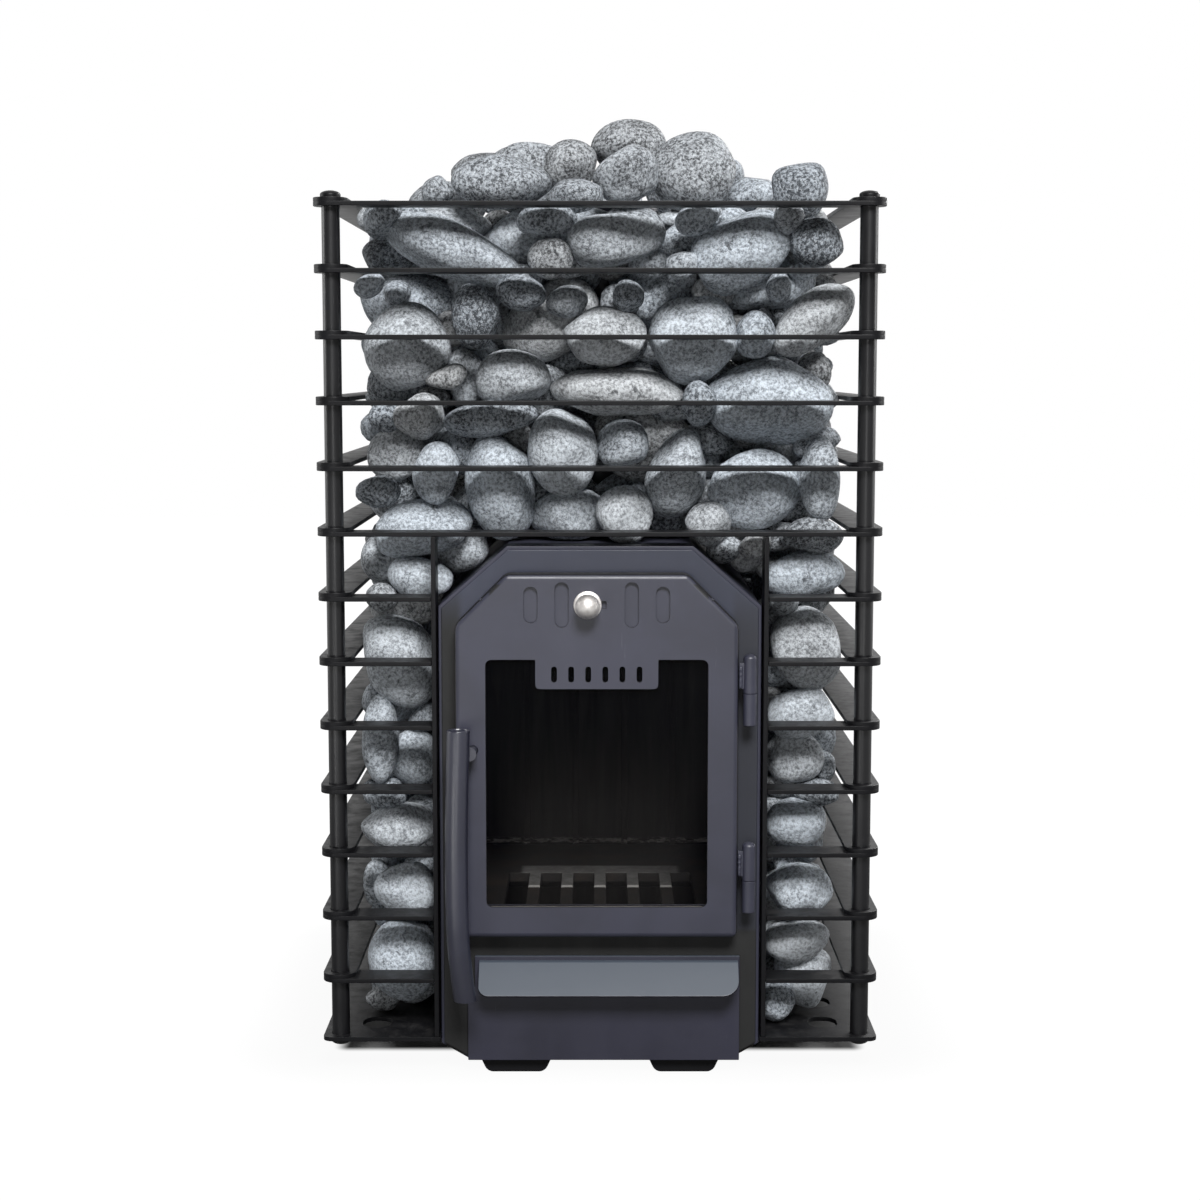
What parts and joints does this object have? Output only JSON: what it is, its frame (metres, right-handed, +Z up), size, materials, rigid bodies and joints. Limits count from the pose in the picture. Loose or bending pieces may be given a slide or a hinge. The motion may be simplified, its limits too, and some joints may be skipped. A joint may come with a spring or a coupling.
{
  "type": "sauna heater stove",
  "caption": "Free-standing wood-burning sauna heater: steel firebox with glazed swing door, air slider and ash drawer inside a flat-bar cage heaped with heating stones.",
  "frame": {"origin": "on the floor, under the middle of the whole heater's box", "axes": "+Z up, -Y towards the user in front of the door, +X to the user's right, the hinge side"},
  "size_m": [0.5, 0.557, 0.8625],
  "materials": {
    "black_paint": "satin heat-proof black paint",
    "grey_paint": "satin heat-proof charcoal paint",
    "sooted_steel": "matt, sooted",
    "cast_iron": "raw casting",
    "satin_steel": "satin",
    "dark_glass": "smoked heat-proof glass",
    "rope_seal": "braided glass-fibre rope",
    "heating_stone": "tumbled speckled grey stone"
  },
  "bodies": {
    "root": {"firebox_shell": "black_paint", "front_frame": "black_paint", "flue_stub": "black_paint", "grate": "cast_iron", "back_liner": "sooted_steel", "baffle_plate": "sooted_steel", "foot_front_left": "black_paint", "foot_front_right": "black_paint", "foot_back_left": "black_paint", "foot_back_right": "black_paint", "hinge_upper_frame_knuckle": "black_paint", "hinge_lower_frame_knuckle": "black_paint", "latch_keeper": "black_paint", "cage_ring_01": "black_paint", "cage_ring_02": "black_paint", "cage_ring_03": "black_paint", "cage_ring_04": "black_paint", "cage_ring_05": "black_paint", "cage_ring_06": "black_paint", "cage_ring_07": "black_paint", "cage_ring_08": "black_paint", "cage_ring_09": "black_paint", "cage_ring_10": "black_paint", "cage_ring_11": "black_paint", "cage_ring_12": "black_paint", "cage_ring_13": "black_paint", "post_front_left": "black_paint", "post_front_right": "black_paint", "post_back_left": "black_paint", "post_back_right": "black_paint", "cap_nut_front_left": "black_paint", "cap_nut_front_right": "black_paint", "cap_nut_back_left": "black_paint", "cap_nut_back_right": "black_paint", "upright_left": "black_paint", "upright_right": "black_paint", "base_plate": "black_paint", "stones_left": "heating_stone", "stones_right": "heating_stone", "stones_back": "heating_stone", "stones_top_front": "heating_stone", "stones_top_left": "heating_stone", "stones_top_right": "heating_stone"},
    "door": {"door_panel": "black_paint", "door_seal": "rope_seal", "glass_seal": "rope_seal", "door_glass": "dark_glass", "glass_retainer": "black_paint", "slider_guide_top": "black_paint", "slider_guide_bottom": "black_paint", "hinge_upper_door_knuckle": "black_paint", "hinge_lower_door_knuckle": "black_paint"},
    "latch": {"door_handle": "black_paint", "latch_spindle": "black_paint", "latch_hook": "black_paint"},
    "air_control": {"air_slider": "black_paint", "air_knob": "satin_steel", "air_knob_stud": "satin_steel"},
    "ash_drawer": {"ash_drawer_front": "grey_paint", "ash_tray": "sooted_steel"}
  },
  "joints": [
    {"name": "door_hinge", "type": "hinge", "parent": "root", "child": "door", "pos_m": [0.132, -0.2335, 0.2935], "axis": [0, 0, 1], "range_deg": [0, 120]},
    {"name": "latch_turn", "type": "hinge", "parent": "door", "child": "latch", "pos_m": [-0.112, -0.2385, 0.3], "axis": [0, 1, 0], "range_deg": [0, 75]},
    {"name": "air_slide", "type": "slide", "parent": "door", "child": "air_control", "axis": [1, 0, 0], "range_m": [0, 0.013]},
    {"name": "drawer_slide", "type": "slide", "parent": "root", "child": "ash_drawer", "axis": [0, -1, 0], "range_m": [0, 0.24]}
  ]
}
